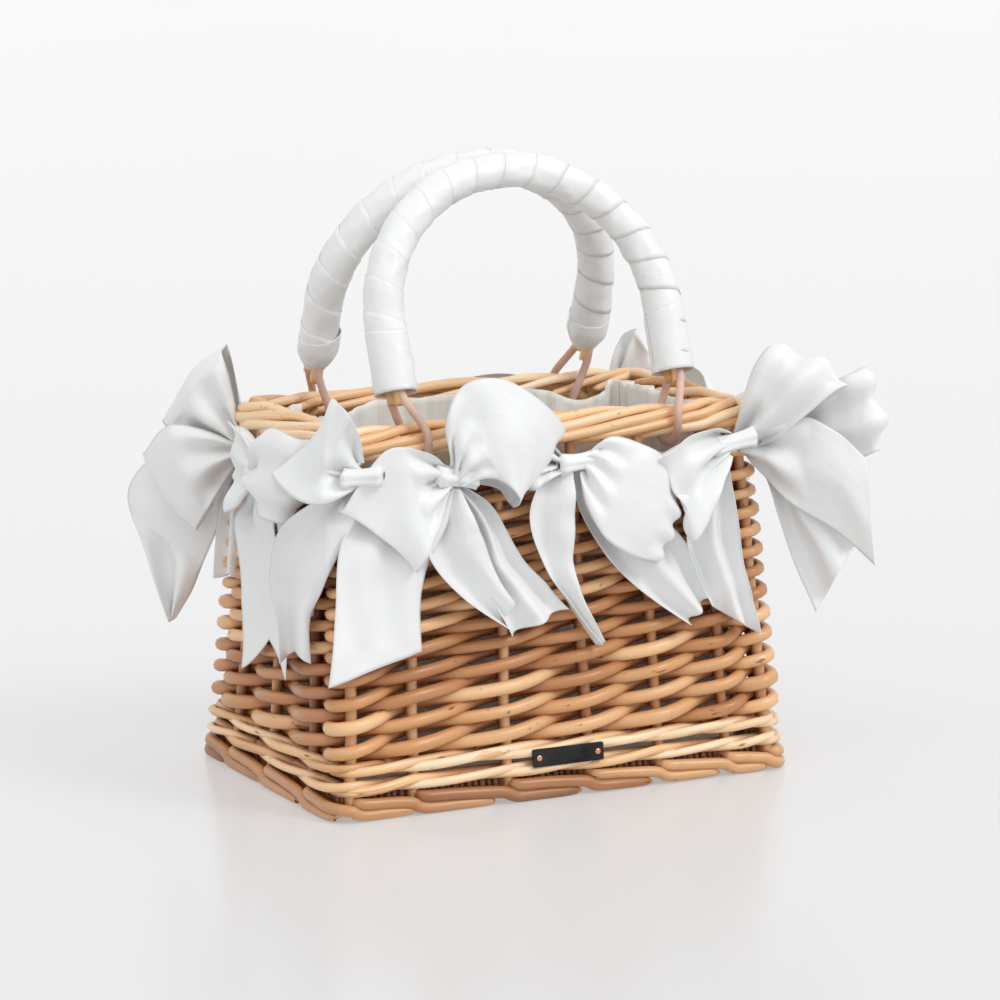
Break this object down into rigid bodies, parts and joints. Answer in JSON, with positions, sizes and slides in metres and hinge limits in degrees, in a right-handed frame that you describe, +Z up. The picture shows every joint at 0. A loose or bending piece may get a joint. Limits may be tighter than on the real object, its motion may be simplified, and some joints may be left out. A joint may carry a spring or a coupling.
{
  "type": "flower girl basket",
  "caption": "Small rectangular willow basket with tapering woven walls, cotton lining, satin bows tied under the rim and satin-wrapped arch handles on leather loops",
  "frame": {"origin": "the middle of the face that the basket stands on", "axes": "+X along the basket's length, +Y from the front side, which carries the plate, to the back, +Z up"},
  "size_m": [0.3474, 0.2366, 0.3287],
  "materials": {
    "honey_willow": "semi-gloss peeled willow",
    "pale_willow": "semi-gloss pale willow",
    "cotton_lining": "plain-weave cotton",
    "white_satin": "double-faced satin ribbon",
    "cane": "peeled cane",
    "blush_leather": "round leather cord",
    "dark_plate": "blackened metal",
    "copper_stud": "copper-coloured rivet"
  },
  "bodies": {
    "basket": {"base_stick_1": "honey_willow", "base_stick_2": "honey_willow", "base_stick_3": "honey_willow", "base_stick_4": "honey_willow", "base_stick_5": "honey_willow", "base_weave": "honey_willow", "bow_back_left": "white_satin", "bow_back_middle": "white_satin", "bow_corner_back_left": "white_satin", "bow_corner_back_right": "white_satin", "bow_corner_front_left": "white_satin", "bow_corner_front_right": "white_satin", "bow_end_left": "white_satin", "bow_end_right": "white_satin", "bow_front_left": "white_satin", "bow_front_middle": "white_satin", "foot_border": "honey_willow", "lining": "cotton_lining", "lower_wale": "pale_willow", "name_plate": "dark_plate", "plate_stud_1": "copper_stud", "plate_stud_2": "copper_stud", "rim_border": "pale_willow", "side_weave": "honey_willow", "stake_back_1": "honey_willow", "stake_back_2": "honey_willow", "stake_back_3": "honey_willow", "stake_back_4": "honey_willow", "stake_back_5": "honey_willow", "stake_back_6": "honey_willow", "stake_back_7": "honey_willow", "stake_front_1": "honey_willow", "stake_front_2": "honey_willow", "stake_front_3": "honey_willow", "stake_front_4": "honey_willow", "stake_front_5": "honey_willow", "stake_front_6": "honey_willow", "stake_front_7": "honey_willow", "stake_left_1": "honey_willow", "stake_left_2": "honey_willow", "stake_left_3": "honey_willow", "stake_right_1": "honey_willow", "stake_right_2": "honey_willow", "stake_right_3": "honey_willow", "upper_wale": "pale_willow"},
    "front_handle": {"handle_front_core": "cane", "handle_front_loop_left": "blush_leather", "handle_front_loop_right": "blush_leather", "handle_front_wrap": "white_satin"},
    "back_handle": {"handle_back_core": "cane", "handle_back_loop_left": "blush_leather", "handle_back_loop_right": "blush_leather", "handle_back_wrap": "white_satin"}
  },
  "joints": [
    {"name": "front_handle_swing", "type": "hinge", "parent": "basket", "child": "front_handle", "pos_m": [0, -0.05894, 0.1895], "axis": [1, 0, 0], "range_deg": [0, 75]},
    {"name": "back_handle_swing", "type": "hinge", "parent": "basket", "child": "back_handle", "pos_m": [0, 0.05894, 0.1895], "axis": [-1, 0, 0], "range_deg": [0, 75]}
  ]
}
